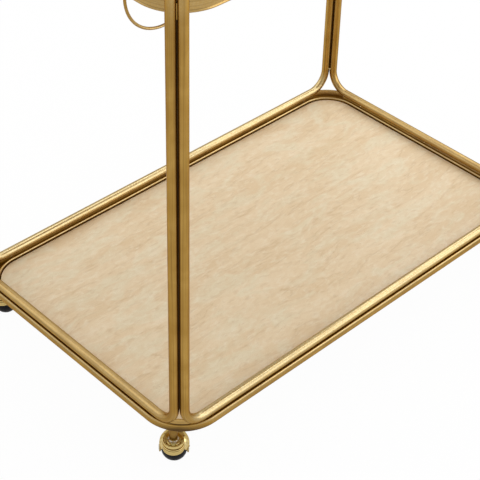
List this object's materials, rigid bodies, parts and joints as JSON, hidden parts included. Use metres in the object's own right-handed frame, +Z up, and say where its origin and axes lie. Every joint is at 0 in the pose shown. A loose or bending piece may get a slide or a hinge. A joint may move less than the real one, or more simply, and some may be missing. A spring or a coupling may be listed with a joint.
{
  "type": "bar cart",
  "caption": "Tiered bar cart: stone-look trays in loops of brass-finished tube, wire bottle hoops under the upper tray, and a hooded ball caster under each corner.",
  "frame": {"origin": "on the floor under the middle of the frame", "axes": "+X along the length towards the right end, -Y towards the front, +Z up"},
  "size_m": [0.7874, 0.4787, 0.8062],
  "materials": {
    "brushed_brass": "brushed brass plate on steel",
    "polished_brass": "polished",
    "stone_panel": "honed travertine look",
    "zinc": "zinc plated",
    "black_ball": "satin"
  },
  "bodies": {
    "frame": {"apron_fins": "brushed_brass", "back_loop": "brushed_brass", "caster_kingpin_back_left": "zinc", "caster_kingpin_back_right": "zinc", "caster_kingpin_front_left": "zinc", "caster_kingpin_front_right": "zinc", "caster_nuts": "zinc", "caster_post_back_left": "brushed_brass", "caster_post_back_right": "brushed_brass", "caster_post_front_left": "brushed_brass", "caster_post_front_right": "brushed_brass", "corner_band_back_left": "brushed_brass", "corner_band_back_right": "brushed_brass", "corner_band_front_left": "brushed_brass", "corner_band_front_right": "brushed_brass", "front_loop": "brushed_brass", "hoop_back_1": "brushed_brass", "hoop_back_2": "brushed_brass", "hoop_back_3": "brushed_brass", "hoop_back_4": "brushed_brass", "hoop_back_5": "brushed_brass", "hoop_front_1": "brushed_brass", "hoop_front_2": "brushed_brass", "hoop_front_3": "brushed_brass", "hoop_front_4": "brushed_brass", "hoop_front_5": "brushed_brass", "left_loop": "brushed_brass", "leg_weld_tabs": "brushed_brass", "lower_edge_bar": "brushed_brass", "lower_ledge": "brushed_brass", "lower_panel": "stone_panel", "rack_rod_back": "brushed_brass", "rack_rod_front": "brushed_brass", "right_loop": "brushed_brass", "tray_weld_tabs": "brushed_brass", "upper_apron": "brushed_brass", "upper_ledge": "brushed_brass", "upper_panel": "stone_panel"},
    "yoke_front_left": {"caster_axle_front_left": "polished_brass", "caster_cup_front_left": "polished_brass", "caster_hood_front_left": "polished_brass"},
    "wheel_front_left": {"caster_ball_front_left": "black_ball", "caster_bushing_front_left": "zinc"},
    "yoke_front_right": {"caster_axle_front_right": "polished_brass", "caster_cup_front_right": "polished_brass", "caster_hood_front_right": "polished_brass"},
    "wheel_front_right": {"caster_ball_front_right": "black_ball", "caster_bushing_front_right": "zinc"},
    "yoke_back_left": {"caster_axle_back_left": "polished_brass", "caster_cup_back_left": "polished_brass", "caster_hood_back_left": "polished_brass"},
    "wheel_back_left": {"caster_ball_back_left": "black_ball", "caster_bushing_back_left": "zinc"},
    "yoke_back_right": {"caster_axle_back_right": "polished_brass", "caster_cup_back_right": "polished_brass", "caster_hood_back_right": "polished_brass"},
    "wheel_back_right": {"caster_ball_back_right": "black_ball", "caster_bushing_back_right": "zinc"}
  },
  "joints": [
    {"name": "swivel_front_left", "type": "hinge", "parent": "frame", "child": "yoke_front_left", "pos_m": [-0.3725, -0.2005, 0.0465], "axis": [0, 0, 1], "continuous": true},
    {"name": "roll_front_left", "type": "hinge", "parent": "yoke_front_left", "child": "wheel_front_left", "pos_m": [-0.3626, -0.1906, 0.0185], "axis": [-0.7071, 0.7071, 0], "continuous": true},
    {"name": "swivel_front_right", "type": "hinge", "parent": "frame", "child": "yoke_front_right", "pos_m": [0.3725, -0.2005, 0.0465], "axis": [0, 0, 1], "continuous": true},
    {"name": "roll_front_right", "type": "hinge", "parent": "yoke_front_right", "child": "wheel_front_right", "pos_m": [0.36147, -0.19188, 0.0185], "axis": [-0.6157, -0.788, 0], "continuous": true},
    {"name": "swivel_back_left", "type": "hinge", "parent": "frame", "child": "yoke_back_left", "pos_m": [-0.363, 0.2105, 0.0465], "axis": [0, 0, 1], "continuous": true},
    {"name": "roll_back_left", "type": "hinge", "parent": "yoke_back_left", "child": "wheel_back_left", "pos_m": [-0.35197, 0.21912, 0.0185], "axis": [-0.6157, 0.788, 0], "continuous": true},
    {"name": "swivel_back_right", "type": "hinge", "parent": "frame", "child": "yoke_back_right", "pos_m": [0.363, 0.2105, 0.0465], "axis": [0, 0, 1], "continuous": true},
    {"name": "roll_back_right", "type": "hinge", "parent": "yoke_back_right", "child": "wheel_back_right", "pos_m": [0.35197, 0.20188, 0.0185], "axis": [0.6157, -0.788, 0], "continuous": true}
  ]
}
